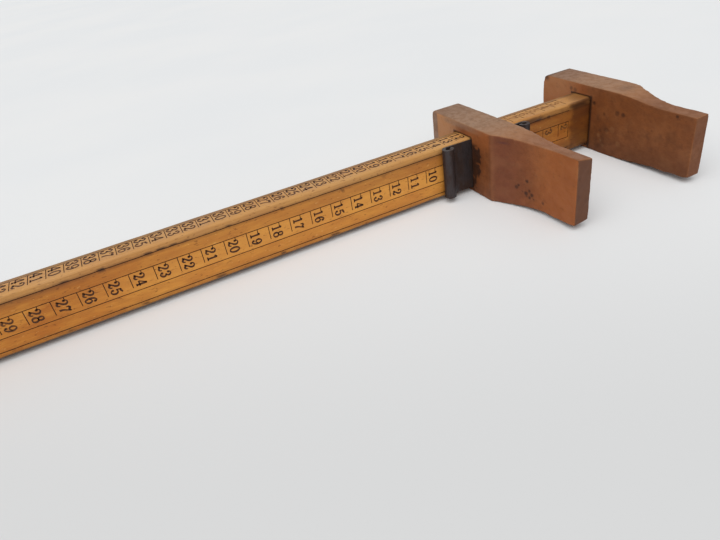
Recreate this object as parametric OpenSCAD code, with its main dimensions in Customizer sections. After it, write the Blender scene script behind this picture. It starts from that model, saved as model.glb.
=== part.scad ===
// Shoemaker's foot measuring stick: a graduated wooden beam with a heel jaw
// fixed at the zero of the scale and a toe jaw that slides along the beam,
// held where it is put by the leaf spring in its mortise.
//
// Frame, in millimetres: X runs along the beam from the zero of the scale,
// which is the heel jaw's inner face. Y = 0 is the middle of the beam, and the
// arms of the jaws reach towards +Y. Z = 0 is the plane the jaws rest on.

/* [Beam] */
// Width of the beam, across the arms' reach
beam_w = 12.6; // [10:0.2:18]
// Height of the beam
beam_h = 25.6; // [24:0.2:30]
// Rounding of the beam's long edges
beam_round = 1; // [0.6:0.1:2]
// Beam left over past the toe jaw at the last graduation
beam_tail = 6; // [2:1:30]

/* [Scale] */
// First graduation, measured from the heel jaw's inner face
scale_first = 13.5; // [13:0.5:40]
// Last graduation
scale_last = 320; // [200:10:400]
// Centimetre pitch of the front scale
cm_pitch = 10; // [10:1:12]
// Width of an engraved line
line_w = 0.35; // [0.2:0.05:0.6]
// Depth of an engraved line
line_depth = 0.2; // [0.1:0.05:0.4]
// Half the height of the front scale's band
front_band = 4.2; // [3:0.1:5]
// Drop of the front scale's middle below the beam's
scale_drop = 0.4; // [0:0.1:0.8]
// Length of a whole centimetre's mark, down from the band's upper line
cm_mark = 6.6; // [4:0.1:8]
// Length of a half centimetre's mark
half_mark = 1.4; // [1:0.1:3]
// Mean distance of the two scribed borders from the beam's edges
border = 2.9; // [2.5:0.1:4]
// Distance of the top scale's long line from the beam's back face
top_border = 3.2; // [2.1:0.1:4]
// Length of a mark of the top scale
point_mark = 7.8; // [5:0.2:8]
// Shift of the whole top scale away from the heel jaw
point_shift = 0.9; // [0:0.1:1.5]

/* [Jaws] */
// Thickness of a jaw's head, along the beam
head_t = 16.4; // [12:0.2:22]
// Height of a jaw's head
head_h = 33.6; // [31:0.2:40]
// Wood under the beam in a jaw's head
head_under = 2.2; // [1.6:0.2:5]
// Reach of a jaw's head behind the middle of the beam
head_back = 28.5; // [20:0.5:40]
// Reach of the full thickness in front of the middle of the beam
head_front = 22.5; // [16:0.5:26]
// Reach of a jaw's arm in front of the middle of the beam
arm_reach = 68; // [62:0.5:80]
// Thickness of a jaw's arm at its tip
tip_t = 7.6; // [5:0.2:9]
// Where the scooped outer face of an arm ends and its straight tip begins
tip_start = 56; // [46:1:60]
// Drop of an arm's upper edge below the head's
arm_drop = 2.5; // [1:0.1:5]
// Rise of an arm's lower edge above the head's
arm_rise = 2.8; // [1:0.1:4]
// Further rise of the lower edge along the arm to the tip
tip_rise = 0.8; // [0:0.1:3]
// Start of the S bends in an arm's upper and lower edges
bend_start = 23; // [22:1:30]
// Length of the S bends along the arm
bend_length = 30; // [12:1:32]
// Rounding of the head's upper back corner
corner_r = 3.5; // [1:0.5:6]
// Opening between the jaws, where the toe jaw stands
jaw_opening = 58.5; // [20:0.5:300]

/* [Slide and spring] */
// Clearance between the toe jaw's mortise and the beam
slide_gap = 0.2; // [0.1:0.05:0.5]
// Open joint between the heel jaw's mortise and the front of the beam
heel_gap = 0.6; // [0:0.1:1]
// Thickness of the spring leaf
leaf_t = 0.8; // [0.4:0.1:1.2]
// Height of the spring leaf, along its rolls
leaf_h = 24.6; // [12:0.2:25.4]
// Bow of the spring leaf, away from the beam at its middle
leaf_bow = 0.7; // [0.3:0.1:1.5]
// Clearance between the spring's ends and the beam
leaf_gap = 0.12; // [0.05:0.01:0.3]
// Outer diameter of the spring's rolled ends
curl_d = 5.6; // [4:0.2:8]
// Turns of the leaf in the wall of a rolled end
curl_turns = 2; // [1:0.25:2.25]
// Reach of the spring past the toe jaw's inner face
spring_in = 16.8; // [8:0.2:16.8]
// Reach of the spring past the toe jaw's outer face
spring_out = 16.8; // [8:0.2:24]

/* [Pin] */
// Diameter of the pin that holds the beam in the heel jaw
pin_d = 3; // [2:0.5:5]
// Depth of the pin past the front of the beam
pin_past_beam = 6; // [2:0.5:8]

/* [Hidden] */
$fn = 48;

// Set larger than any cut, so that cuts pass clean through
past = 1;

half_w = beam_w/2;
beam_z = head_under + beam_h/2;
scale_z = beam_z - scale_drop;
beam_end = scale_last + head_t + beam_tail;
beam_length = head_t + beam_end;

// The top scale is in Paris points, two thirds of a centimetre each
point_pitch = cm_pitch*2/3;
// The top scale's marks leave a plain strip along the front edge
point_far = -half_w + top_border;
// Share of a pitch within which a place counts as a whole graduation
whole_share = 0.01;

curl_r = curl_d/2;
// Beam side of the leaf's ends, and the wall that the bowed leaf leans on
leaf_y = half_w + leaf_gap;
mortise_front = leaf_y + leaf_bow + leaf_t;
// The rolled ends' axes along the beam
curl_in_x = jaw_opening - spring_in + curl_r;
curl_out_x = jaw_opening + head_t + spring_out - curl_r;
leaf_mid_x = (curl_in_x + curl_out_x)/2;
leaf_half = (curl_out_x - curl_in_x)/2;
// Slope of the upper side of the slit in a rolled end
slit_slope = 0.25;
// Radius of the bowed leaf's beam side: an arc of the wanted rise over the span
leaf_r = (leaf_half*leaf_half + leaf_bow*leaf_bow)/(2*leaf_bow);
// Radius of the scoop: tangent to the tip, and through the head's front edge
tip_thin = head_t - tip_t;
scoop_run = tip_start - head_front;
scoop_r = (scoop_run*scoop_run + tip_thin*tip_thin)/(2*tip_thin);

pin_length = head_back + half_w + pin_past_beam;

// Points of an S bend from height z0 at y0 to height z1, over the bend's length
bend_steps = 10;
function s_bend(y0, z0, z1) = [
    for (i = [0 : bend_steps])
        [y0 + bend_length*i/bend_steps, z0 + (z1 - z0)*(1 - cos(180*i/bend_steps))/2]
];
function reversed(points) = [for (i = [len(points) - 1 : -1 : 0]) points[i]];

// A box from its lowest to its highest corner
module span(low, high) {
    translate(low) cube(high - low);
}

// Section of the beam, in Y and Z about its middle, with true round edges
module beam_section() {
    flat_w = beam_w - 2*beam_round;
    flat_h = beam_h - 2*beam_round;
    square([beam_w, flat_h], center = true);
    square([flat_w, beam_h], center = true);
    for (y = [-1, 1], z = [-1, 1])
        translate([y*flat_w/2, z*flat_h/2]) circle(r = beam_round);
}

// Long engraved lines on the front face, at heights from the scale's middle
module front_line(z) {
    span([scale_first, half_w - line_depth, scale_z + z - line_w/2],
         [scale_last + line_w/2, half_w + past, scale_z + z + line_w/2]);
}

// A mark of the front scale, hanging from the band's upper line
module front_mark(x, mark) {
    span([x - line_w/2, half_w - line_depth, scale_z + front_band - mark],
         [x + line_w/2, half_w + past, scale_z + front_band]);
}

// Front scale: its closed start, then whole and half centimetres
module front_marks() {
    half_pitch = cm_pitch/2;
    front_mark(scale_first, 2*front_band);
    for (n = [ceil(scale_first/half_pitch) : floor(scale_last/half_pitch + whole_share)])
        front_mark(n*half_pitch, n % 2 == 0 ? cm_mark : half_mark);
}

// Top scale: Paris points, across the band from its far line
module top_marks() {
    top = beam_z + beam_h/2;
    first = ceil((scale_first - point_shift)/point_pitch);
    last = floor((scale_last - point_shift)/point_pitch + whole_share);
    for (n = [first : last]) {
        x = point_shift + n*point_pitch;
        span([x - line_w/2, point_far, top - line_depth],
             [x + line_w/2, point_far + point_mark, top + past]);
    }
    span([scale_first, point_far - line_w/2, top - line_depth],
         [scale_last + line_w/2, point_far + line_w/2, top + past]);
}

// Hole for the pin, shared by the beam and the heel jaw, and the pin itself
module pin_shape() {
    translate([-head_t/2, -head_back, beam_z])
        rotate([-90, 0, 0]) cylinder(d = pin_d, h = pin_length);
}

module beam() {
    color([0.80, 0.53, 0.20]) difference() {
        translate([-head_t, 0, beam_z])
            rotate([90, 0, 90]) linear_extrude(beam_length) beam_section();
        for (z = [-front_band, front_band]) front_line(z);
        for (side = [-1, 1]) front_line(side*(beam_h/2 - border));
        front_marks();
        top_marks();
        pin_shape();
    }
}

// Outline of a jaw seen from above: X away from the inner face, Y along the arm
module jaw_plan() {
    difference() {
        translate([0, -head_back]) square([head_t, head_back + arm_reach]);
        translate([tip_t + scoop_r, tip_start]) circle(r = scoop_r, $fn = 200);
        translate([tip_t, tip_start]) square([head_t, arm_reach]);
    }
}

// Outline of a jaw seen along the beam: Y along the arm, Z up
module jaw_side() {
    top_bend = s_bend(bend_start, head_h, head_h - arm_drop);
    low_bend = s_bend(bend_start, 0, arm_rise);
    polygon(concat(
        [[-head_back, 0]],
        low_bend,
        [[arm_reach, arm_rise + tip_rise], [arm_reach, head_h - arm_drop]],
        reversed(top_bend),
        [[-head_back + corner_r, head_h], [-head_back, head_h - corner_r]]
    ));
    translate([-head_back + corner_r, head_h - corner_r]) circle(r = corner_r);
}

// A jaw without its mortise, with its inner face on X = 0 and its body at X > 0
module jaw_blank() {
    intersection() {
        linear_extrude(head_h) jaw_plan();
        rotate([90, 0, 90]) linear_extrude(head_t) jaw_side();
    }
}

// The heel jaw, glued and pinned on the end of the beam
module fixed_jaw() {
    color([0.55, 0.30, 0.14]) difference() {
        mirror([1, 0, 0]) jaw_blank();
        translate([-head_t - past, 0, beam_z])
            rotate([90, 0, 90]) linear_extrude(head_t + 2*past) beam_section();
        span([-head_t - past, 0, beam_z - beam_h/2 + beam_round],
             [past, half_w + heel_gap, beam_z + beam_h/2 - beam_round]);
        pin_shape();
    }
}

module fixed_jaw_pin() {
    color([0.42, 0.40, 0.38]) pin_shape();
}

// The toe jaw, whose mortise has room for the beam and the bowed leaf
module sliding_jaw() {
    color([0.58, 0.32, 0.15]) difference() {
        translate([jaw_opening, 0, 0]) jaw_blank();
        span([jaw_opening - past, -half_w - slide_gap, beam_z - beam_h/2 - slide_gap],
             [jaw_opening + head_t + past, mortise_front, beam_z + beam_h/2 + slide_gap]);
    }
}

// A rolled end: the leaf turned up and back on itself, with a slit towards the jaw
module curl(outward) {
    mirror([outward < 0 ? 1 : 0, 0]) difference() {
        circle(r = curl_r);
        circle(r = curl_r - curl_turns*leaf_t);
        polygon([[0, 0], [-curl_d, -slit_slope*curl_d], [-curl_d, -curl_d], [-leaf_t/3, -curl_d]]);
    }
}

// Plan of the spring: a shallow arc, nearest to the beam at its rolled ends
module spring_plan() {
    intersection() {
        translate([leaf_mid_x, leaf_y + leaf_bow - leaf_r]) difference() {
            circle(r = leaf_r + leaf_t, $fn = 400);
            circle(r = leaf_r, $fn = 400);
        }
        translate([curl_in_x, leaf_y - leaf_t]) square([2*leaf_half, 3*leaf_t + leaf_bow]);
    }
    translate([curl_in_x, leaf_y + curl_r]) curl(-1);
    translate([curl_out_x, leaf_y + curl_r]) curl(1);
}

module friction_spring() {
    color([0.13, 0.12, 0.13])
        translate([0, 0, beam_z - leaf_h/2]) linear_extrude(leaf_h) spring_plan();
}

beam();
fixed_jaw();
fixed_jaw_pin();
sliding_jaw();
friction_spring();
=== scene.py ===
"""Looks of the shoemaker's foot measuring stick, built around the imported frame. Metres."""
import math

import bpy
import numpy as np
from mathutils import Matrix, Vector


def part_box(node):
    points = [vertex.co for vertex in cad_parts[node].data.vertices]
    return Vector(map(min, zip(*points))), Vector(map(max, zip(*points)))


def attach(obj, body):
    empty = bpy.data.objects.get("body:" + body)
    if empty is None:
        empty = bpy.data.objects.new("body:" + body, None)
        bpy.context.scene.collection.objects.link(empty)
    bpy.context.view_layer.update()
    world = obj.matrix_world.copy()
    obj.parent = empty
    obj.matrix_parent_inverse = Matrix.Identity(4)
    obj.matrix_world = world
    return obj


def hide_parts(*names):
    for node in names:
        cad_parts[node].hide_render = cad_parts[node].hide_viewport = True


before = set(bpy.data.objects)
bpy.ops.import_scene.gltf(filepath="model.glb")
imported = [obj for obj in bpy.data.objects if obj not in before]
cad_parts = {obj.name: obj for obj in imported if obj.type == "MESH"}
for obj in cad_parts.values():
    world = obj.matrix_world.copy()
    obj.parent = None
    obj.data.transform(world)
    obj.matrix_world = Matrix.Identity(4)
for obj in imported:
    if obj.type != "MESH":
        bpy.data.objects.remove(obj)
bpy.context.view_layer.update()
MM = 0.001


def linear(red, green, blue):
    """A colour written as 0 to 255, for a shader's socket."""
    def one(value):
        value /= 255
        return value/12.92 if value <= 0.04045 else ((value + 0.055)/1.055)**2.4
    return (one(red), one(green), one(blue), 1.0)


# ---------------------------------------------------------------- camera, floor, light

scene = bpy.context.scene
scene.view_settings.view_transform = "Standard"

CAMERA_PLACE = (0.2272, 0.2298, 0.1337)
CAMERA_RIGHT = (-0.8874, 0.4386, -0.1419)
CAMERA_UP = (-0.3488, -0.4376, 0.8288)
CAMERA_AHEAD = (-0.3014, -0.7850, -0.5413)
CAMERA_LENS, CAMERA_SENSOR = 29.147, 36


def add_camera():
    data = bpy.data.cameras.new("camera")
    data.lens = CAMERA_LENS
    data.sensor_width = CAMERA_SENSOR
    data.sensor_fit = "HORIZONTAL"
    data.clip_start = 0.01
    camera = bpy.data.objects.new("camera", data)
    right, up = Vector(CAMERA_RIGHT).normalized(), Vector(CAMERA_UP).normalized()
    back = -Vector(CAMERA_AHEAD).normalized()
    turn = Matrix((right, up, back)).transposed()
    camera.matrix_world = Matrix.Translation(CAMERA_PLACE) @ turn.to_4x4()
    scene.collection.objects.link(camera)
    scene.camera = camera


# ---------------------------------------------------------------- small tools

def smooth(value, start, end):
    """0 at start, 1 at end, with a smooth turn at both."""
    t = np.clip((value - start)/(end - start), 0, 1)
    return t*t*(3 - 2*t)


def near(points, centre, reach):
    """1 at a place, falling to 0 over the reach along each axis."""
    d = (points - np.array(centre))/np.array(reach)
    return np.exp(-(d*d).sum(1))


def value_noise(points, size, seed):
    """Seeded noise from 0 to 1. size is the width of its patches, in the points' own unit."""
    grid = np.random.default_rng(seed).random((24, 24, 24))
    p = points/np.array(size)
    cell = np.floor(p).astype(int)
    f = p - cell
    f = f*f*(3 - 2*f)
    total = np.zeros(len(points))
    for dx in (0, 1):
        for dy in (0, 1):
            for dz in (0, 1):
                corner = grid[(cell[:, 0] + dx) % 24, (cell[:, 1] + dy) % 24, (cell[:, 2] + dz) % 24]
                weight = (f[:, 0] if dx else 1 - f[:, 0])
                weight = weight*(f[:, 1] if dy else 1 - f[:, 1])
                total += corner*weight*(f[:, 2] if dz else 1 - f[:, 2])
    return total


def cloud(points, size, seed):
    """Three layers of noise, from 0 to 1."""
    size = np.array(size, float)*np.ones(3)
    layers = [value_noise(points, size/2**i, seed + i)/2**i for i in range(3)]
    return sum(layers)/1.75


def new_mesh_object(name, corners, faces, materials, face_materials=None):
    mesh = bpy.data.meshes.new(name)
    mesh.from_pydata([tuple(c) for c in corners], [], faces)
    for material in materials:
        mesh.materials.append(material)
    if face_materials is not None:
        mesh.polygons.foreach_set("material_index", face_materials)
    mesh.update()
    piece = bpy.data.objects.new(name, mesh)
    scene.collection.objects.link(piece)
    return piece


def paint(piece, **layers):
    """Stores one number for each vertex and layer, for the material to read."""
    for name, values in layers.items():
        attribute = piece.data.attributes.new(name, "FLOAT", "POINT")
        attribute.data.foreach_set("value", np.clip(values, 0, 1).astype(np.float32))


def vertices_of(mesh):
    points = np.zeros(len(mesh.vertices)*3)
    mesh.vertices.foreach_get("co", points)
    return points.reshape(-1, 3)


def normals_of(mesh):
    normals = np.zeros(len(mesh.vertices)*3)
    mesh.vertices.foreach_get("normal", normals)
    return normals.reshape(-1, 3)


# ---------------------------------------------------------------- materials

class Paint:
    """A node material in the making."""

    def __init__(self, name):
        self.material = bpy.data.materials.new(name)
        self.material.use_nodes = True
        self.tree = self.material.node_tree
        self.shader = self.tree.nodes["Principled BSDF"]
        self.place = self.node("ShaderNodeTexCoord").outputs["Object"]

    def node(self, kind, **settings):
        node = self.tree.nodes.new(kind)
        for key, value in settings.items():
            setattr(node, key, value)
        return node

    def join(self, source, socket):
        if isinstance(source, (int, float, tuple)):
            socket.default_value = source
        else:
            self.tree.links.new(source, socket)

    def stretched(self, scale, turn=(0, 0, 0)):
        mapping = self.node("ShaderNodeMapping")
        mapping.inputs["Scale"].default_value = scale
        mapping.inputs["Rotation"].default_value = turn
        self.join(self.place, mapping.inputs["Vector"])
        return mapping.outputs["Vector"]

    def noise(self, scale, detail=3.0, roughness=0.55, distortion=0.0):
        """Noise with so many patches a metre along each axis."""
        node = self.node("ShaderNodeTexNoise")
        self.join(self.stretched(scale), node.inputs["Vector"])
        node.inputs["Scale"].default_value = 1.0
        node.inputs["Detail"].default_value = detail
        node.inputs["Roughness"].default_value = roughness
        node.inputs["Distortion"].default_value = distortion
        return node.outputs["Fac"]

    def layer(self, name):
        return self.node("ShaderNodeAttribute", attribute_name=name).outputs["Fac"]

    def between(self, source, low, high, to_low=0.0, to_high=1.0):
        node = self.node("ShaderNodeMapRange", interpolation_type="SMOOTHSTEP")
        self.join(source, node.inputs["Value"])
        for socket, value in (("From Min", low), ("From Max", high), ("To Min", to_low), ("To Max", to_high)):
            node.inputs[socket].default_value = value
        return node.outputs["Result"]

    def math(self, operation, first, second=0.0):
        node = self.node("ShaderNodeMath", operation=operation)
        self.join(first, node.inputs[0])
        self.join(second, node.inputs[1])
        return node.outputs["Value"]

    def mix(self, share, first, second, blend="MIX"):
        node = self.node("ShaderNodeMix", data_type="RGBA", blend_type=blend)
        self.join(share, node.inputs["Factor"])
        self.join(first, node.inputs[6])
        self.join(second, node.inputs[7])
        return node.outputs[2]

    def finish(self, colour, roughness, height=None, strength=0.3, depth=0.1*MM, gloss=0.5):
        self.join(colour, self.shader.inputs["Base Color"])
        self.shader.inputs["Specular IOR Level"].default_value = gloss
        self.join(roughness, self.shader.inputs["Roughness"])
        if height is not None:
            bump = self.node("ShaderNodeBump")
            bump.inputs["Strength"].default_value = strength
            bump.inputs["Distance"].default_value = depth
            self.join(height, bump.inputs["Height"])
            self.join(bump.outputs["Normal"], self.shader.inputs["Normal"])
        return self.material


def boxwood():
    """Varnished boxwood: gold to orange, with fine streaks along X, specks, worked-in dirt, a painted sheen
    on the top, and painted shade at the lower edge and between the jaws.
    """
    p = Paint("boxwood")
    blotch = p.between(p.noise((38, 90, 90), detail=4), 0.3, 0.7)
    streak = p.between(p.noise((18, 520, 520), detail=5, roughness=0.6), 0.34, 0.72)
    fine = p.noise((220, 2600, 2600), detail=3)
    small = p.between(p.noise((130, 420, 420), detail=4), 0.36, 0.66)
    colour = p.mix(blotch, linear(186, 113, 38), linear(208, 141, 56))
    colour = p.mix(p.math("MULTIPLY", streak, 0.26), colour, linear(152, 84, 26))
    colour = p.mix(p.math("MULTIPLY", small, 0.42), colour, linear(160, 88, 28))
    colour = p.mix(p.between(fine, 0.35, 0.75, 0.0, 0.18), colour, linear(118, 62, 20))
    colour = p.mix(p.layer("gold"), colour, linear(232, 166, 78))
    # Paler tan: rubbed wood, and a painted sheen on the top and its rounded edges
    colour = p.mix(p.layer("pale"), colour, linear(188, 146, 92))
    colour = p.mix(p.layer("brown"), colour, linear(126, 74, 40))
    pore = p.between(p.noise((420, 1300, 1300), detail=2), 0.62, 0.7)
    colour = p.mix(p.math("MULTIPLY", pore, 0.5), colour, linear(98, 50, 20))
    fleck = p.between(p.noise((480, 900, 900), detail=2), 0.66, 0.76)
    colour = p.mix(p.math("MULTIPLY", fleck, 0.4), colour, linear(226, 172, 100))
    # Red-brown: rust, and painted shade on the front between the jaws
    colour = p.mix(p.layer("rust"), colour, linear(74, 38, 20))
    # Darkest brown: dirt, and painted shade at the lower edge and between the jaws
    colour = p.mix(p.layer("grime"), colour, linear(52, 30, 18))
    rough = p.between(blotch, 0.0, 1.0, 0.42, 0.55)
    height = p.math("ADD", p.math("MULTIPLY", streak, 0.6), p.math("MULTIPLY", fine, 0.4))
    return p.finish(colour, rough, height, strength=0.35, depth=0.06*MM, gloss=0.3)


def end_grain():
    """Sawn end of the beam: rings and pores, darker than its long faces."""
    p = Paint("boxwood_end")
    rings = p.node("ShaderNodeTexWave", wave_type="RINGS", rings_direction="X")
    p.join(p.stretched((1, 1, 1)), rings.inputs["Vector"])
    rings.inputs["Scale"].default_value = 220
    rings.inputs["Distortion"].default_value = 3
    rings.inputs["Detail"].default_value = 2
    pore = p.between(p.noise((1400, 1400, 1400)), 0.55, 0.7)
    colour = p.mix(rings.outputs["Fac"], linear(150, 92, 42), linear(178, 116, 58))
    colour = p.mix(p.math("MULTIPLY", pore, 0.7), colour, linear(86, 48, 22))
    return p.finish(colour, 0.7, pore, strength=0.3)


def ink():
    """Burnt-in ink of the scales, rubbed thin in places."""
    p = Paint("scale_ink")
    rubbed = p.between(p.noise((170, 420, 420), detail=3), 0.45, 0.8)
    colour = p.mix(p.math("MULTIPLY", rubbed, 0.5), linear(60, 31, 15), linear(124, 74, 32))
    colour = p.mix(p.math("MULTIPLY", p.layer("faint"), 0.75), colour, linear(168, 112, 52))
    return p.finish(colour, 0.6, gloss=0.3)


def jaw_wood(name, deep, light, mottling):
    """Stained jaw wood: orange brown, mottled, worn at the corners, dull and dusty on top, where the grey is
    also a painted sheen; its darkest layer holds stains and painted shade.
    """
    p = Paint(name)
    blotch = p.between(p.noise((80, 55, 80), detail=4), 0.32, 0.68)
    streak = p.between(p.noise((420, 24, 420), detail=5, roughness=0.6), 0.35, 0.7)
    mottle = p.between(p.noise((330, 260, 330), detail=5, roughness=0.65), 0.36, 0.68)
    fine = p.noise((2400, 500, 2400), detail=3)
    colour = p.mix(blotch, linear(*deep), linear(*light))
    colour = p.mix(p.math("MULTIPLY", streak, 0.25), colour, linear(98, 52, 26))
    colour = p.mix(p.math("MULTIPLY", mottle, mottling), colour, linear(98, 58, 32))
    colour = p.mix(p.between(fine, 0.42, 0.75, 0.0, 0.3), colour, linear(76, 42, 22))
    colour = p.mix(p.layer("amber"), colour, linear(158, 90, 44))
    colour = p.mix(p.layer("plum"), colour, linear(92, 50, 42))
    colour = p.mix(p.layer("warm"), colour, linear(182, 130, 86))
    grey = p.mix(mottle, linear(142, 113, 90), linear(130, 100, 78))
    # Grey: dusty wood, with a painted sheen on the tops, painted shade on the toe's back slant and a painted
    # highlight along its head's upper edge
    colour = p.mix(p.layer("dust"), colour, grey)
    colour = p.mix(p.layer("end"), colour, linear(92, 60, 44))
    colour = p.mix(p.layer("rub"), colour, linear(160, 112, 72))
    # Near black: stains, and painted shade under edges, on faces that look down and in the gaps round the
    # beam
    colour = p.mix(p.layer("stain"), colour, linear(36, 20, 13))
    rough = p.between(mottle, 0.0, 1.0, 0.55, 0.7)
    height = p.math("ADD", p.math("MULTIPLY", streak, 0.5), p.math("MULTIPLY", fine, 0.5))
    return p.finish(colour, rough, height, strength=0.4, depth=0.08*MM, gloss=0.25)


def spring_steel():
    """Blackened spring steel with brown rust and a bare gleam."""
    p = Paint("spring_steel")
    patch = p.between(p.noise((160, 160, 90), detail=5), 0.42, 0.66)
    fine = p.noise((1500, 1500, 500), detail=3)
    colour = p.mix(patch, linear(62, 55, 56), linear(56, 38, 30))
    colour = p.mix(p.between(fine, 0.5, 0.7, 0.0, 0.5), colour, linear(40, 32, 31))
    p.shader.inputs["Metallic"].default_value = 0.55
    return p.finish(colour, p.between(patch, 0, 1, 0.42, 0.7), fine, strength=0.25, depth=0.05*MM)


def pin_iron():
    """Dull iron of the pin's filed head."""
    p = Paint("pin_iron")
    scratch = p.noise((3000, 300, 600), detail=3)
    rusty = p.between(p.noise((500, 500, 500)), 0.45, 0.65)
    colour = p.mix(rusty, linear(118, 112, 106), linear(92, 58, 40))
    p.shader.inputs["Metallic"].default_value = 0.8
    return p.finish(colour, p.between(rusty, 0, 1, 0.4, 0.75), scratch, strength=0.2)


# ---------------------------------------------------------------- floor and light

BACKGROUND = linear(232, 233, 233)
SKY = 0.42
SUN = 2.35
SUN_SOFTNESS = 75


def add_stage():
    p = Paint("pale_floor")
    wave = p.between(p.noise((5, 7, 5), detail=2), 0.3, 0.7)
    colour = p.mix(wave, linear(227, 229, 231), linear(230, 231, 232))
    # Painted shade: the floor darkens towards +X and +Y, the near side, standing in for the light's fall-off
    split = p.node("ShaderNodeSeparateXYZ")
    p.join(p.place, split.inputs[0])
    across = p.math("ADD", p.math("MULTIPLY", split.outputs["X"], 0.5), split.outputs["Y"])
    colour = p.mix(p.between(across, 0.05, 0.24, 0.0, 1.0), colour, linear(214, 215, 216))
    material = p.finish(colour, 0.9, gloss=0.1)
    reach = 9.0
    corners = [(-reach, -reach, 0), (reach, -reach, 0), (reach, reach, 0), (-reach, reach, 0)]
    floor = new_mesh_object("floor", corners, [(0, 1, 2, 3)], [material])

    world = bpy.data.worlds.new("studio")
    scene.world = world
    world.use_nodes = True
    nodes, links = world.node_tree.nodes, world.node_tree.links
    seen, lit = nodes["Background"], nodes.new("ShaderNodeBackground")
    seen.inputs["Color"].default_value = BACKGROUND
    seen.inputs["Strength"].default_value = 1.0
    lit.inputs["Color"].default_value = (0.96, 0.98, 1.0, 1)
    lit.inputs["Strength"].default_value = SKY
    path, either = nodes.new("ShaderNodeLightPath"), nodes.new("ShaderNodeMixShader")
    rays = path.outputs["Is Camera Ray"]
    for kind in ("Is Glossy Ray", "Is Transmission Ray"):
        both = nodes.new("ShaderNodeMath")
        both.operation = "MAXIMUM"
        links.new(rays, both.inputs[0])
        links.new(path.outputs[kind], both.inputs[1])
        rays = both.outputs["Value"]
    links.new(rays, either.inputs["Fac"])
    links.new(lit.outputs["Background"], either.inputs[1])
    links.new(seen.outputs["Background"], either.inputs[2])
    links.new(either.outputs["Shader"], nodes["World Output"].inputs["Surface"])

    data = bpy.data.lights.new("window", "SUN")
    data.energy = SUN
    data.angle = math.radians(SUN_SOFTNESS)
    data.color = (1.0, 0.985, 0.96)
    lamp = bpy.data.objects.new("window", data)
    lamp.matrix_world = Vector((0.35, 0.42, 0.84)).to_track_quat("Z", "Y").to_matrix().to_4x4()
    scene.collection.objects.link(lamp)


# ---------------------------------------------------------------- beam

beam_low, beam_high = (np.array(corner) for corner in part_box("beam"))
BEAM_Y = (beam_low[1] + beam_high[1])/2
BEAM_Z = (beam_low[2] + beam_high[2])/2
HALF_W = (beam_high[1] - beam_low[1])/2
HALF_H = (beam_high[2] - beam_low[2])/2
BEAM_ROUND = 1.0*MM

SCALE_FIRST, SCALE_LAST = 13.5*MM, 320*MM
CM = 10*MM
POINT = CM*2/3
LINE = 0.35*MM
LINE_SLOPE = 0.06*MM
LINE_DEPTH = 0.2*MM
SCALE_DROP = 0.4*MM
BAND_TOP, BAND_LOW = 4.2*MM - SCALE_DROP, -4.2*MM - SCALE_DROP
BORDER_TOP, BORDER_LOW = HALF_H - 2.9*MM - SCALE_DROP, -HALF_H + 2.9*MM - SCALE_DROP
CM_MARK, HALF_MARK = 6.6*MM, 1.4*MM
POINT_FAR = -HALF_W + 3.2*MM
POINT_MARK = 7.8*MM
POINT_SHIFT = 0.9*MM


def front_lines():
    """Engraved rectangles of the front face: lowest and highest X, then Z from the beam's axis."""
    cuts = []
    for z in (BORDER_LOW, BAND_LOW, BAND_TOP, BORDER_TOP):
        cuts.append((SCALE_FIRST - LINE/2, SCALE_LAST + LINE/2, z - LINE/2, z + LINE/2))
    marks = [(SCALE_FIRST, BAND_TOP - BAND_LOW)]
    for n in range(math.ceil(SCALE_FIRST/(CM/2)), round(SCALE_LAST/(CM/2)) + 1):
        marks.append((n*CM/2, HALF_MARK if n % 2 else CM_MARK))
    for x, mark in marks:
        cuts.append((x - LINE/2, x + LINE/2, BAND_TOP - mark, BAND_TOP + LINE/2))
    return cuts


def point_numbers():
    first = math.ceil((SCALE_FIRST - POINT_SHIFT)/POINT)
    return range(first, math.floor((SCALE_LAST - POINT_SHIFT)/POINT + 0.01) + 1)


def top_lines():
    """The same for the top face, in X and Y."""
    far = POINT_FAR - LINE/2
    cuts = [(SCALE_FIRST - LINE/2, SCALE_LAST + LINE/2, far, far + LINE)]
    for n in point_numbers():
        x = POINT_SHIFT + n*POINT
        cuts.append((x - LINE/2, x + LINE/2, far, POINT_FAR + POINT_MARK))
    return cuts


def groove_stops(ranges):
    """Grid positions at the lips and at the floor's edges of each engraved line."""
    stops = set()
    for low, high in ranges:
        stops.update((low, low + LINE_SLOPE, high - LINE_SLOPE, high))
    return stops


def tidy_stops(stops, start, end, step, least=0.03*MM):
    """Sorted positions from start to end, filled up to the step and never closer than the least."""
    wanted = sorted(s for s in stops if start + least < s < end - least)
    kept = [start]
    for stop in wanted + [end]:
        gap = stop - kept[-1]
        if gap < least:
            continue
        extra = max(0, math.ceil(gap/step) - 1)
        first = kept[-1]
        kept += [first + gap*(i + 1)/(extra + 1) for i in range(extra)]
        kept.append(stop)
    kept[-1] = end
    return kept


def in_cuts(x, v, cuts, inset):
    inside = np.zeros(np.broadcast(x, v).shape, bool)
    for x0, x1, v0, v1 in cuts:
        inside |= (x > x0 + inset) & (x < x1 - inset) & (v > v0 + inset) & (v < v1 - inset)
    return inside


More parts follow.
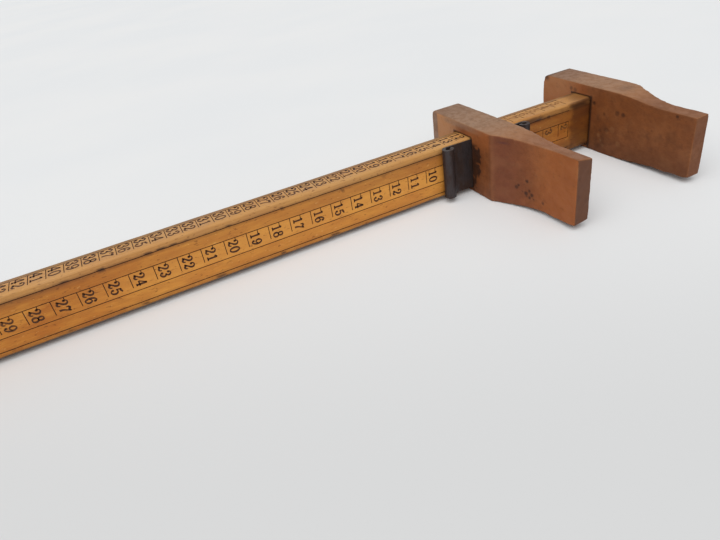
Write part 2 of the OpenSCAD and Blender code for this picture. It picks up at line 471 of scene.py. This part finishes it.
def beam_section(front_stops, top_stops):
    """Points round the beam's section: y, z, outward y, outward z, and the face each stands on."""
    flat_w, flat_h = HALF_W - BEAM_ROUND, HALF_H - BEAM_ROUND
    plain_w = tidy_stops(set(), -flat_w, flat_w, 2.2*MM)
    plain_h = tidy_stops(set(), -flat_h, flat_h, 2.4*MM)
    ring = []

    def arc(y, z, start):
        for i in range(1, 6):
            a = math.radians(start + 90*i/6)
            ring.append((y + BEAM_ROUND*math.cos(a), z + BEAM_ROUND*math.sin(a), math.cos(a), math.sin(a), 4))

    ring += [(HALF_W, z, 1, 0, 0) for z in front_stops]
    arc(flat_w, flat_h, 0)
    ring += [(y, HALF_H, 0, 1, 1) for y in reversed(top_stops)]
    arc(-flat_w, flat_h, 90)
    ring += [(-HALF_W, z, -1, 0, 2) for z in reversed(plain_h)]
    arc(-flat_w, -flat_h, 180)
    ring += [(y, -HALF_H, 0, -1, 3) for y in plain_w]
    arc(flat_w, -flat_h, 270)
    return np.array(ring)


# Dents along the front's borders and lower edge: X, height, their reach along and across, depth
DENTS = [
    (248.4, 9.5, 2.0, 0.6, 0.35), (229.6, 9.6, 1.8, 0.6, 0.4), (224.5, 9.8, 2.2, 0.5, 0.45),
    (219.5, 9.9, 2.0, 0.5, 0.4), (214.0, 9.9, 2.4, 0.5, 0.25), (262.0, 9.6, 3.0, 0.4, 0.25),
    (282.0, 9.4, 2.4, 0.4, 0.2), (196.0, 9.6, 2.0, 0.5, 0.25), (172.0, 9.4, 1.5, 0.5, 0.3),
    (152.0, 8.8, 2.6, 0.5, 0.25), (143.0, 8.4, 1.0, 0.7, 0.3), (131.0, 8.6, 3.0, 0.4, 0.3),
    (122.0, 8.3, 1.6, 0.4, 0.3), (113.0, 8.7, 2.0, 0.4, 0.25), (33.0, 9.6, 3.0, 0.6, 0.3),
    (26.5, 9.5, 1.6, 0.8, 0.3), (238.0, -11.6, 2.4, 0.5, 0.3), (205.0, -11.8, 2.8, 0.5, 0.35),
    (176.0, -11.7, 2.0, 0.5, 0.25), (150.0, -11.8, 3.0, 0.6, 0.3), (268.0, -11.7, 2.6, 0.5, 0.25),
]


def make_beam():
    flat_w, flat_h = HALF_W - BEAM_ROUND, HALF_H - BEAM_ROUND
    front, top = front_lines(), top_lines()
    xs = groove_stops([c[:2] for c in front + top])
    xs = np.array(tidy_stops(xs, beam_low[0], beam_high[0], 0.9*MM))
    front_stops = tidy_stops(groove_stops([c[2:] for c in front]), -flat_h, flat_h, 1.5*MM)
    top_stops = tidy_stops(groove_stops([c[2:] for c in top]), -flat_w, flat_w, 1.5*MM)
    ring = beam_section(front_stops, top_stops)
    rows, columns = len(xs), len(ring)

    x = np.repeat(xs, columns)
    y, z, out_y, out_z, side = (np.tile(ring[:, k], rows) for k in range(5))
    points = np.stack([x, y, z], 1)

    # Hand wear: long edges planed a little unevenly, rounded again by use, and dented
    at_edge = (side == 4).astype(float)
    wear = at_edge*0.16*MM*cloud(points, (14*MM, 3*MM, 3*MM), 5)
    dent = np.zeros(len(x))
    for dx, dz, along, across, depth in DENTS:
        spot = near(points, (dx*MM, HALF_W, dz*MM), (along*MM, 2.5*MM, across*MM))
        dent = np.maximum(dent, spot*depth/0.45)
        wear += spot*depth*MM*(0.5 + cloud(points, 1.2*MM, 8))
    cut = (side == 0) & in_cuts(x, z, front, LINE_SLOPE/2)
    cut |= (side == 1) & in_cuts(x, y, top, LINE_SLOPE/2)
    sink = wear + np.where(cut, LINE_DEPTH, 0)
    points[:, 1] -= out_y*sink
    points[:, 2] -= out_z*sink
    points += np.array([0, BEAM_Y, BEAM_Z])

    # Faces along the beam, then both ends
    faces, face_material = [], []
    ring_y, ring_z, ring_side = ring[:, 0], ring[:, 1], ring[:, 4]
    for j in range(columns):
        k = (j + 1) % columns
        middle_y, middle_z = (ring_y[j] + ring_y[k])/2, (ring_z[j] + ring_z[k])/2
        middle_x = (xs[:-1] + xs[1:])/2
        inked = np.zeros(rows - 1, bool)
        if ring_side[j] == 0 and ring_side[k] == 0:
            inked = in_cuts(middle_x, np.full(rows - 1, middle_z), front, 0)
        if ring_side[j] == 1 and ring_side[k] == 1:
            inked = in_cuts(middle_x, np.full(rows - 1, middle_y), top, 0)
        for i in range(rows - 1):
            a, b = i*columns, (i + 1)*columns
            faces.append((a + j, a + k, b + k, b + j))
            face_material.append(int(inked[i]))
    faces.append(tuple(reversed(range(columns))))
    faces.append(tuple((rows - 1)*columns + j for j in range(columns)))
    face_material += [2, 2]

    beam = new_mesh_object("beam_wood", points, faces, [BOXWOOD, INK, END_GRAIN], face_material)
    height = points[:, 2] - BEAM_Z
    flat = np.stack([points[:, 0], points[:, 1], height], 1)
    ragged = cloud(flat, (4*MM, 2*MM, 2*MM), 21)
    patchy = cloud(flat, (22*MM, 6*MM, 6*MM), 31)

    # The top, and the strip of the front above its upper border, are paler: rubbed wood, and a painted sheen
    # of the lit top and its rounded edge
    on_front = y > HALF_W - 0.7*BEAM_ROUND
    upper = (side == 1) | ((side == 4) & (z > 0))
    above = on_front*smooth(height, BORDER_TOP - 0.1*MM, BORDER_TOP + 0.3*MM)
    pale = 0.85*np.maximum(upper, 0.85*above)*(0.55 + 0.45*patchy)
    pale = np.maximum(pale, 0.6*(side == 4)*(z < 0)*patchy)

    # The front's band is its brightest part, and the strip over it the brownest
    front_flat = side == 0
    in_band = smooth(height, BAND_LOW, BAND_LOW + LINE)*smooth(height, BAND_TOP, BAND_TOP - LINE)
    middle = smooth(x, 275*MM, 225*MM)*smooth(x, 60*MM, 100*MM)
    gold = front_flat*middle*(0.22 + 0.25*in_band)*(0.7 + 0.5*patchy)*(1 - above)
    over = smooth(height, BAND_TOP - LINE, BAND_TOP + LINE)*(1 - above)*front_flat
    brown = over*(0.12 + 0.3*smooth(x, 190*MM, 90*MM))*(0.5 + 0.9*patchy)
    smear = over*smooth(height, BORDER_TOP - 3.4*MM, BORDER_TOP - 1.2*MM)*smooth(x, 215*MM, 265*MM)
    brown = np.maximum(brown, smear*(0.2 + 0.45*patchy))

    # Dirt in the borders and dents; the lowest edge and the underside are darkened as painted shade
    line_high = np.exp(-((height - BORDER_TOP)/(0.38*MM))**2)
    line_low = np.exp(-((height - BORDER_LOW)/(0.4*MM))**2)
    grime = on_front*(line_high*(0.2 + 0.5*ragged) + line_low*(0.1 + 0.35*ragged))
    grime = np.maximum(grime, smooth(dent, 0.15, 0.6)*(0.5 + 0.8*ragged))
    # Painted shade: the lowest rounded edge and the underside are darkened
    lowest = smooth(z, -HALF_H + 1.6*BEAM_ROUND, -HALF_H + 0.3*BEAM_ROUND)
    grime = np.maximum(grime, lowest*(0.35 + 0.4*ragged))
    back_strip = upper*smooth(y, POINT_FAR + 0.1*MM, POINT_FAR - 0.3*MM)
    grime = np.maximum(grime, back_strip*(0.34 + 0.4*ragged))
    # Painted shade between the jaws: the top is made less bright and darker there; the front gets smudged
    # dirt along its upper border
    between_jaws = smooth(x, 75*MM, 50*MM)
    pale *= 1 - 0.25*between_jaws
    grime = np.maximum(grime, upper*between_jaws*0.3*ragged)
    worn_line = smooth(np.abs(height - BORDER_TOP - 0.8*MM), 2.4*MM, 0.8*MM)
    smudged = cloud(flat, (8*MM, 1.6*MM, 1.6*MM), 25)
    grime = np.maximum(grime, 0.75*on_front*between_jaws*worn_line*smooth(smudged, 0.3, 0.65))

    # Rust rubbed in by the spring where the toe jaw is pushed home, rust creeping low near the heel jaw, and
    # the front between the jaws darkened with rust and painted shade from the jaws
    wobble = (cloud(flat, (3*MM, 3*MM, 3*MM), 41) - 0.5)*6*MM
    home = smooth(x + wobble, 15.5*MM, 9.5*MM)*(x < 22*MM)
    rust = home*np.where(on_front, 0.62 + 0.3*ragged, 0.0)
    rust = np.maximum(rust, home*np.where(upper, 0.5, 0.0)*smooth(x, 12*MM, 4*MM))
    low_creep = on_front*smooth(height, -2*MM, -9*MM)*smooth(x + wobble, 30*MM, 14*MM)
    rust = np.maximum(rust, low_creep*(0.3 + 0.6*ragged))
    # Rust and painted shade: the front between the jaws is darkened
    rust = np.maximum(rust, (0.1 + 0.25*patchy)*front_flat*smooth(x, 62*MM, 40*MM))
    paint(beam, pale=pale, gold=gold, brown=brown, grime=grime, rust=rust)
    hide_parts("beam")
    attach(beam, "stick")
    return beam


# ---------------------------------------------------------------- numerals

def ring_path(x, y, rx, ry, steps=20):
    """A closed oval, thick at its sides."""
    path = []
    for i in range(steps + 1):
        a = 2*math.pi*i/steps
        path.append((x + rx*math.cos(a), y + ry*math.sin(a), 0.25 + 0.75*abs(math.cos(a))))
    return path


def turned(paths):
    return [[(1 - x, 1 - y, w) for x, y, w in path] for path in paths]


# Each numeral in a unit box: strokes of (x, y, share of the full stroke), and round ends (x, y)
SIX = [[(.80, .86, .3), (.56, .99, .3), (.24, .78, .8), (.12, .38, 1), (.30, .05, .6), (.60, .01, .3),
        (.86, .25, .9), (.76, .50, .6), (.50, .57, .25), (.20, .40, .3)]]
NUMERALS = {
    "0": ([ring_path(.5, .5, .40, .48)], []),
    "1": ([[(.22, .78, .25), (.42, .90, .5), (.56, 1.0, .3)], [(.56, .98, .9), (.56, .5, .9), (.56, .02, .9)],
           [(.22, .03, .35), (.56, .03, .35), (.90, .03, .35)]], []),
    "2": ([[(.14, .70, .5), (.20, .92, .3), (.50, 1.0, .35), (.82, .86, .9), (.80, .62, 1), (.50, .36, .6),
            (.12, .07, .3)], [(.12, .07, .5), (.34, .14, 1), (.64, .04, 1), (.86, .10, .5), (.94, .28, .2)]],
          [(.22, .72)]),
    "3": ([[(.16, .86, .4), (.45, 1.0, .3), (.78, .83, 1), (.70, .62, .6), (.42, .54, .3)],
           [(.42, .54, .3), (.78, .44, .8), (.85, .22, 1), (.50, .0, .4), (.15, .12, .4)]],
          [(.20, .80), (.19, .20)]),
    "4": ([[(.64, 1.0, .4), (.36, .66, .25), (.05, .31, .3)],
           [(.05, .30, .4), (.50, .30, .4), (.96, .30, .4)],
           [(.66, 1.0, 1), (.66, .5, 1), (.66, .02, 1)],
           [(.46, .03, .35), (.66, .03, .35), (.88, .03, .35)]], []),
    "5": ([[(.26, .96, .3), (.22, .74, .3), (.20, .52, .3)], [(.22, .94, .6), (.44, .89, .9), (.66, .97, .8),
           (.88, 1.0, .3)], [(.20, .52, .3), (.46, .63, .3), (.84, .48, .9), (.84, .18, 1), (.50, .0, .4),
           (.16, .14, .4)]], [(.20, .20)]),
    "6": (SIX, [(.76, .82)]),
    "7": ([[(.10, .70, .2), (.12, .82, .3), (.13, .95, .5)], [(.10, .91, .5), (.34, .98, 1), (.60, .88, 1),
           (.92, .99, .3)], [(.92, .98, .25), (.62, .62, .4), (.44, .32, .9), (.42, .02, 1)]], []),
    "8": ([ring_path(.5, .76, .29, .23), ring_path(.5, .27, .38, .26)], []),
    "9": (turned(SIX), [(.24, .18)]),
}


def curve_through(path, steps=4):
    """A smooth line through the path's points, with its widths."""
    p = np.array([path[0]] + list(path) + [path[-1]])
    out = []
    for i in range(1, len(p) - 2):
        for s in range(steps):
            t = s/steps
            a, b, c, d = p[i - 1], p[i], p[i + 1], p[i + 2]
            out.append(0.5*(2*b + (c - a)*t + (2*a - 5*b + 4*c - d)*t*t + (3*b - a - 3*c + d)*t**3))
    out.append(p[-2])
    return np.array(out)


class Strokes:
    """Flat strokes of all the numerals of one scale, laid on a face."""

    def __init__(self, lay):
        self.lay = lay
        self.points, self.faces, self.count = [], [], 0

    def ribbon(self, line, widths):
        ahead = np.gradient(line, axis=0)
        ahead /= np.maximum(np.linalg.norm(ahead, axis=1, keepdims=True), 1e-9)
        side = np.stack([-ahead[:, 1], ahead[:, 0]], 1)*widths[:, None]/2
        n = len(self.points)
        self.points += [tuple(q) for q in line + side] + [tuple(q) for q in line - side]
        m = len(line)
        self.faces += [(n + i, n + m + i, n + m + i + 1, n + i + 1) for i in range(m - 1)]

    def ball(self, centre, radius, sides=12):
        n = len(self.points)
        self.points += [(centre[0] + radius*math.cos(2*math.pi*i/sides),
                         centre[1] + radius*math.sin(2*math.pi*i/sides)) for i in range(sides)]
        self.faces.append(tuple(range(n, n + sides)))

    def number(self, text, start, base, width, pitch, height, thick, thin, dot):
        """start and base are where the first numeral's lower left corner lies on the face."""
        for place, sign in enumerate(text):
            strokes, balls = NUMERALS[sign]
            shift = start + place*pitch
            for path in strokes:
                line = curve_through(path)
                share = line[:, 2]
                spots = np.stack([shift + line[:, 0]*width, base + line[:, 1]*height], 1)
                self.ribbon(spots, thin + (thick - thin)*share)
            for x, y in balls:
                self.ball((shift + x*width, base + y*height), dot)

    def piece(self, name, faint):
        flat = np.array(self.points)
        points = self.lay(flat)
        faces = []
        for face in self.faces:
            loop = points[list(face)]
            turn = np.cross(loop[1] - loop[0], loop[2] - loop[1])
            faces.append(face if turn @ self.lay.outward > 0 else tuple(reversed(face)))
        piece = new_mesh_object(name, points, faces, [INK])
        paint(piece, faint=faint(points))
        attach(piece, "stick")
        return piece


INK_PROUD = 0.02*MM


def lay_front(flat):
    """Written across the front face, turned a quarter to the right: up is -X, and on is -Z."""
    return np.stack([-flat[:, 1], np.full(len(flat), BEAM_Y + HALF_W + INK_PROUD), BEAM_Z - flat[:, 0]], 1)


def lay_top(flat):
    """Written across the top: up is -X, and on is +Y."""
    return np.stack([-flat[:, 1], BEAM_Y + flat[:, 0], np.full(len(flat), BEAM_Z + HALF_H + INK_PROUD)], 1)


lay_front.outward = np.array([0, 1, 0])
lay_top.outward = np.array([0, 0, 1])


def make_numerals():
    front = Strokes(lay_front)
    for n in range(2, round(SCALE_LAST/CM) + 1):
        text = str(n)
        front.number(text, -2.9*MM, -(n*CM - 1.5*MM), 2.6*MM, 3.2*MM, 4.2*MM, 0.88*MM, 0.38*MM, 0.54*MM)
    front.piece("front_numerals",
                lambda p: 0.35*smooth(p[:, 0], 60*MM, 25*MM) + 0.5*(cloud(p, 9*MM, 51) - 0.45))

    top = Strokes(lay_top)
    for n in point_numbers()[1:]:
        text = str(n)
        start = -3.0*MM if len(text) == 2 else -1.2*MM
        base = -(POINT_SHIFT + n*POINT - 0.85*MM)
        top.number(text, start, base, 3.2*MM, 3.75*MM, 4.6*MM, 0.95*MM, 0.45*MM, 0.6*MM)
    top.piece("top_numerals",
              lambda p: 0.7*smooth(p[:, 0], 75*MM, 30*MM) + 0.5*(cloud(p, 8*MM, 61) - 0.45))


# ---------------------------------------------------------------- jaws

def remeshed_copy(node, name, voxel):
    """A copy of a CAD node with an even, fine mesh, so that its edges can be worn."""
    piece = bpy.data.objects.new(name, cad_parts[node].data.copy())
    scene.collection.objects.link(piece)
    remesh = piece.modifiers.new("even", "REMESH")
    remesh.mode = "VOXEL"
    remesh.voxel_size = voxel
    evaluated = piece.evaluated_get(bpy.context.evaluated_depsgraph_get())
    mesh = bpy.data.meshes.new_from_object(evaluated)
    mesh.name = name
    piece.modifiers.clear()
    piece.data = mesh
    mesh.materials.clear()
    return piece


def relax(points, edges, weight, rounds):
    """Moves each point towards its neighbours' mean by its weight."""
    counts = np.bincount(edges.ravel(), minlength=len(points))[:, None]
    for _ in range(rounds):
        total = np.zeros_like(points)
        np.add.at(total, edges[:, 0], points[edges[:, 1]])
        np.add.at(total, edges[:, 1], points[edges[:, 0]])
        points = points + weight[:, None]*(total/counts - points)
    return points


HEAD_T, TIP_T = 16.4, 7.6
HEAD_FRONT, TIP_START, ARM_REACH = 22.5, 56.0, 68.0


def jaw_thickness(y):
    """Thickness of a jaw at a place along it, in mm."""
    run, thin = TIP_START - HEAD_FRONT, HEAD_T - TIP_T
    radius = (run*run + thin*thin)/(2*thin)
    ahead = np.clip(TIP_START - y, 0, run)
    return TIP_T + radius - np.sqrt(radius*radius - ahead*ahead)


def make_jaw(node, name, body, inner, sign, wear):
    """A jaw with worn edges. Its own frame: u away from the inner face, y along the arm, z up, in mm."""
    piece = remeshed_copy(node, name, 0.5*MM)
    mesh = piece.data
    points = vertices_of(mesh)
    edges = np.zeros(len(mesh.edges)*2, int)
    mesh.edges.foreach_get("vertices", edges)
    edges = edges.reshape(-1, 2)

    def own(p):
        return np.stack([(p[:, 0] - inner)*sign, p[:, 1], p[:, 2]], 1)/MM

    o = own(points)
    mouth = (np.abs(o[:, 1] - 0.8) < 8.8) & (o[:, 2] > 1.4) & (o[:, 2] < 29.2)
    soft = np.where(mouth, 0.0, 0.5)
    before = points
    points = relax(points, edges, soft, 3)
    edge = np.clip(np.linalg.norm(points - before, axis=1)/(0.25*MM), 0, 1)

    # The arm's upper and lower faces slope: their outer edges stand proud of the inner ones
    o = own(points)
    along = smooth(o[:, 1], 26, 60)
    across = np.clip(o[:, 0]/jaw_thickness(o[:, 1]), 0, 1)
    rise, dip = wear["slope"]
    points[:, 2] += MM*along*smooth(o[:, 2], 14, 30)*(rise[0]*(1 - across) + rise[1]*across)
    points[:, 2] += MM*along*smooth(o[:, 2], 18, 5)*(dip[0]*(1 - across) + dip[1]*across)

    # The outer corner at the back is planed off to a shallow slant
    slant, slant_start = wear["slant"]
    outside = smooth(o[:, 0], HEAD_T - 4, HEAD_T - 1)
    points[:, 0] -= MM*sign*slant*outside*np.clip((slant_start - o[:, 1])/6, 0, 1.2)
    mesh.vertices.foreach_set("co", points.ravel())
    mesh.update()

    normals = normals_of(mesh)
    o = own(points)
    normals_own = normals*np.array([sign, 1, 1])
    calm = np.where(mouth, 0.0, 1.0)
    sink = calm*(0.08*cloud(o, 9, 71) + 0.05*cloud(o, 2.5, 75))
    sink += calm*edge*0.3*smooth(cloud(o, 3, 79), 0.3, 0.8)
    for place, reach, depth in wear["chips"]:
        sink = np.maximum(sink, depth*near(o, place, reach)*(0.7 + 0.6*cloud(o, 1.0, 83)))
    points = points - normals*sink[:, None]*MM
    mesh.vertices.foreach_set("co", points.ravel())
    mesh.update()
    mesh.polygons.foreach_set("use_smooth", [True]*len(mesh.polygons))
    mesh.materials.append(wear["material"])
    paint(piece, **wear["layers"](o, normals_own, edge))
    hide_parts(node)
    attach(piece, body)
    return piece


def spots(o, places):
    """Round marks: y, z, radius and strength, the strongest one at each point."""
    mark = np.zeros(len(o))
    for y, z, size, strength in places:
        d = ((o[:, 1] - y)/size)**2 + ((o[:, 2] - z)/size)**2
        mark = np.maximum(mark, strength*smooth(np.exp(-d), 0.2, 0.7))
    return mark


def shared_layers(o, n, edge):
    """Marks that both jaws have: a dusty top greyed further by a painted sheen, dark ends, dark edges with
    painted shade under the upper edges, on faces that look down and round the mortise's mouth, and rubbed
    corners.
    """
    patch = cloud(o, 7, 101)
    fine = cloud(o, 1.6, 105)
    # The top faces turn grey: dusty wood, and a painted sheen of the lit tops
    top = smooth(n[:, 2], 0.5, 0.95)
    dust = top*(0.75 + 0.2*patch)*(1 - 0.6*smooth(o[:, 1], 8, 34))
    end = smooth(n[:, 1], 0.75, 0.97)*smooth(o[:, 1], 40, 60)*(0.8 + 0.2*fine)
    rub = 0.3*edge*smooth(fine, 0.45, 0.75)
    warm = 0.08*smooth(patch, 0.5, 0.8)
    # Warmer, lighter tops: partly a painted sheen of the lit top
    warm = np.maximum(warm, top*0.5*smooth(o[:, 1], -18, 2)*smooth(o[:, 1], 46, 24))
    stain = 0.22*smooth(fine, 0.6, 0.85)
    stain = np.maximum(stain, 0.13*top*smooth(o[:, 1], -4, -22))
    # Painted shade: faces that look down are darkened
    stain = np.maximum(stain, 0.35*smooth(-n[:, 2], 0.6, 0.95))
    # A dark line just under the upper edges: painted shade below the arris
    under = (1 - top)*edge*smooth(o[:, 2], 28, 30)
    stain = np.maximum(stain, 0.4*under)
    # A dark rim round the mouth of the mortise: painted shade of the gap round the beam
    outside = np.maximum(np.abs(o[:, 1] - 0.6) - 7.0, np.abs(o[:, 2] - 15.0) - 13.0)
    stain = np.maximum(stain, 0.85*smooth(outside, 0.9, 0.3)*smooth(np.abs(n[:, 0]), 0.6, 0.9))
    amber = 0.3*patch
    return dust, end, rub, warm, amber, stain, patch, fine


def toe_layers(o, n, edge):
    dust, end, rub, warm, amber, stain, patch, fine = shared_layers(o, n, edge)
    outer = smooth(n[:, 0], 0.6, 0.9)
    head = outer*smooth(o[:, 1], 22.5, 21.0)

    # The head's outer face: paler towards its upper back, with a grey slant along the back edge that is
    # painted shade
    strip = outer*smooth(o[:, 1], -21.0, -22.4)
    warm = np.maximum(warm, head*0.85*smooth(o[:, 1], 4, -14)*smooth(o[:, 1] - 0.2*o[:, 2], 2, -12))
    warm = warm*(1 - strip)
    dust = np.maximum(dust, 0.8*strip)
    # A greyer band along the head face's upper edge: a worn chamfer, and a painted highlight on its rounding
    bevel = head*smooth(o[:, 2], 29.9 + 0.6*fine, 31.4)*smooth(o[:, 1], 20, 4)*smooth(o[:, 1], -18, -12)
    dust = np.maximum(dust, 0.55*bevel)

    # Scalloped rust beside the spring
    lobes = np.full(len(o), -1.0)
    for y, z, size in ((9.5, 20.0, 6.4), (9.5, 12.4, 5.0), (7.5, 5.5, 4.0)):
        lobes = np.maximum(lobes, 1 - np.hypot(o[:, 1] - y, o[:, 2] - z)/size)
    ragged = smooth(lobes + 1.1*(cloud(o, 1.5, 117) - 0.5), 0.06, 0.16)
    scallop = head*ragged*smooth(o[:, 2], 26.5, 24.5)
    stain = np.maximum(stain, (0.72 + 0.25*fine)*scallop)
    halo = head*smooth(o[:, 1], 22, 12)*smooth(o[:, 1], 5, 8)*smooth(o[:, 2], 29, 22)
    stain = np.maximum(stain, 0.24*halo*(0.5 + fine))
    amber = np.maximum(amber, head*0.5*smooth(o[:, 2], 20, 27)*smooth(o[:, 1], -6, 8))
    fillet = outer*smooth(np.abs(o[:, 1] - 20.5), 3.0, 1.0)*smooth(o[:, 2], 30, 22)
    stain = np.maximum(stain, 0.22*fillet*(0.5 + fine))

    # The arm reddens from the head's plum brown to amber at the tip
    amber = np.maximum(amber, outer*0.75*smooth(o[:, 1], 34, 56)*(0.6 + 0.5*patch))
    plum = outer*0.6*smooth(o[:, 1], 20, 24)*smooth(o[:, 1], 50, 28)*(0.75 + 0.25*patch)

    # Pits on the arm, and a darker bruise below the head's front corner
    pits = ((34.6, 10.3, 1.0, .8), (35.6, 11.5, 0.7, .8), (39.9, 14.4, 0.9, .9), (39.5, 8.3, 1.1, .9),
            (41.2, 9.9, 0.8, .7), (42.6, 8.2, 1.0, .8), (41.4, 6.6, 0.8, .8), (39.8, 6.9, 0.6, .7),
            (43.6, 6.4, 0.5, .7), (37.6, 8.8, 0.5, .6), (48.8, 6.2, 0.8, .6), (38.4, 12.6, 0.4, .6))
    stain = np.maximum(stain, outer*spots(o, pits)*(0.6 + 0.6*fine))
    bruise = outer*np.exp(-((o[:, 1] - 28.4)/4.5)**2 - ((o[:, 2] - 30.5)/0.9)**2)
    plum = np.maximum(plum, bruise)
    ridge = np.exp(-((o[:, 1] - 23.2)/1.3)**2)*outer
    rub = np.maximum(rub, 0.14*ridge)
    rub = np.maximum(rub, 0.6*edge*smooth(o[:, 1], 60, 66)*smooth(o[:, 2], 14, 26)*smooth(fine, 0.3, 0.6))
    return {"dust": dust, "end": end, "rub": rub, "warm": warm, "amber": amber, "plum": plum, "stain": stain}


def heel_layers(o, n, edge):
    dust, end, rub, warm, amber, stain, patch, fine = shared_layers(o, n, edge)
    inner = smooth(-n[:, 0], 0.6, 0.9)
    back = smooth(o[:, 1], 4, -14)
    warm = np.maximum(warm, inner*back*0.5*smooth(o[:, 2], 12, 30)*(0.6 + 0.5*patch))
    amber = np.maximum(0.5*amber, inner*0.7*smooth(o[:, 1], 12, -2)*(0.8 + 0.2*patch))
    amber = np.maximum(amber, inner*0.25*smooth(o[:, 2], 10, 24)*(0.5 + 0.5*patch))
    plum = 0.2*inner*smooth(o[:, 1], 52, 66)*patch

    # The inner face: darker low down by the beam, mottled with lighter rubs
    low = inner*smooth(o[:, 2], 18, 4)*smooth(o[:, 1], 40, 12)*smooth(o[:, 1], 4, 9)
    stain = np.maximum(stain, 0.5*low*(0.3 + fine))
    stain = np.maximum(stain, 0.3*inner*smooth(o[:, 2], 13, 3)*smooth(o[:, 1], 6, 14)*(0.5 + 0.8*patch))
    # Painted shade: a dark vertical line in the gap beside the beam's front
    gap_shade = inner*smooth(np.abs(o[:, 1] - 7.3), 1.2, 0.6)*smooth(o[:, 2], 29.0, 28.4)
    stain = np.maximum(stain, 0.85*gap_shade)
    corner = smooth(o[:, 1], -23.0, -26.0)*smooth(o[:, 2], 29.8, 32.2)
    stain = np.maximum(stain, 0.7*corner)
    marks = ((24.9, 23.5, 1.5, .6), (28.7, 23.4, 1.3, .65), (58.2, 29.7, 0.8, .8), (9.6, 25.4, 1.1, .7),
             (16.8, 21.4, 0.9, .5), (15.0, 12.2, 1.2, .6), (17.6, 5.8, 1.1, .5), (-7.0, 30.0, 1.2, .6),
             (-4.1, 29.6, 1.3, .6), (21.0, 9.0, 0.8, .4), (33.0, 16.0, 0.7, .4), (46.0, 20.0, 0.6, .4),
             (19.0, 13.4, 1.6, .45), (17.0, 8.0, 1.6, .5), (57.4, 19.6, 3.4, .2), (63.6, 8.3, 2.6, .2))
    stain = np.maximum(stain, inner*spots(o, marks)*(0.5 + 0.7*fine))
    rubs = ((14.0, 9.4, 1.1, .5), (17.3, 4.6, 0.9, .4), (15.7, 6.9, 0.8, .45), (22.8, 14.6, 1.8, .25),
            (19.4, 12.4, 1.2, .3), (27.0, 8.0, 1.6, .25))
    rub = np.maximum(rub, inner*spots(o, rubs)*(0.5 + 0.8*fine))
    smudge = smooth(n[:, 2], 0.5, 0.9)*near(o, (8, 22, 33), (5, 4, 6))
    stain = np.maximum(stain, 0.35*smudge)
    rub = np.maximum(rub, 0.45*edge*smooth(o[:, 1], 60, 66)*smooth(fine, 0.3, 0.6))
    # Painted shade: a dark line under the inner face's upper edge
    stain = np.maximum(stain, 0.5*edge*inner*smooth(o[:, 2], 28, 30))
    return {"dust": 0.75*dust, "end": 0.4*end, "rub": rub, "warm": warm, "amber": amber, "plum": plum,
            "stain": stain}


# Chips: place, reach along each axis, depth, all in mm, in a jaw's own frame
TOE_CHIPS = [
    ((TIP_T, ARM_REACH, 32.4), (1.1, 1.1, 1.6), 0.6), ((TIP_T, ARM_REACH, 2.6), (0.8, 0.8, 1.0), 0.2),
    ((0.0, ARM_REACH, 31.2), (0.6, 0.8, 0.6), 0.2), ((0.0, ARM_REACH, 3.2), (0.8, 0.8, 0.8), 0.2),
    ((TIP_T, ARM_REACH, 20.0), (0.5, 0.5, 3.0), 0.25), ((3.0, 64.0, 31.4), (1.2, 2.0, 0.8), 0.2),
]
HEEL_CHIPS = [
    ((0.0, ARM_REACH, 31.1), (1.0, 1.0, 1.0), 0.5), ((0.0, ARM_REACH, 2.6), (1.2, 1.4, 1.2), 0.4),
    ((TIP_T, ARM_REACH, 31.1), (1.2, 1.0, 1.0), 0.3), ((TIP_T, ARM_REACH, 2.6), (1.0, 1.0, 1.0), 0.2),
    ((0.0, 58.2, 29.9), (0.8, 0.8, 0.6), 0.4), ((0.0, 24.9, 23.5), (0.5, 1.4, 0.8), 0.2),
    ((0.0, 28.8, 23.4), (0.5, 1.1, 0.8), 0.2), ((0.0, 9.6, 25.4), (0.5, 0.9, 0.7), 0.3),
    ((0.0, -28.5, 31.0), (1.6, 1.2, 1.6), 0.35), ((16.4, 22.5, 33.6), (1.2, 1.4, 1.2), 0.5),
]

# ---------------------------------------------------------------- the whole

add_camera()
add_stage()
BOXWOOD, END_GRAIN, INK = boxwood(), end_grain(), ink()
make_beam()
make_numerals()

toe_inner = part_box("sliding_jaw")[0][0]
heel_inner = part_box("fixed_jaw")[1][0]
make_jaw("sliding_jaw", "toe_jaw_wood", "slider", toe_inner, 1,
         {"chips": TOE_CHIPS, "layers": toe_layers,
          "material": jaw_wood("jaw_wood_toe", (118, 64, 30), (138, 80, 42), 0.4),
          "slope": ((0.3, 1.5), (-0.5, -1.5)), "slant": (0.9, -21.5)})
make_jaw("fixed_jaw", "heel_jaw_wood", "stick", heel_inner, -1,
         {"chips": HEEL_CHIPS, "layers": heel_layers,
          "material": jaw_wood("jaw_wood_heel", (116, 66, 32), (128, 75, 38), 0.55),
          "slope": ((0.2, 0.4), (-0.9, -0.9)), "slant": (0.0, -21.5)})


def dress(node, material, bevel):
    """A CAD solid that stays: its material, and edges broken by a small bevel."""
    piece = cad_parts[node]
    piece.data.materials.clear()
    piece.data.materials.append(material)
    broken = piece.modifiers.new("broken_edges", "BEVEL")
    broken.width = bevel
    broken.segments = 2
    broken.limit_method = "ANGLE"
    broken.angle_limit = math.radians(40)
    broken.harden_normals = False


dress("friction_spring", spring_steel(), 0.15*MM)
dress("fixed_jaw_pin", pin_iron(), 0.25*MM)

bpy.context.view_layer.update()
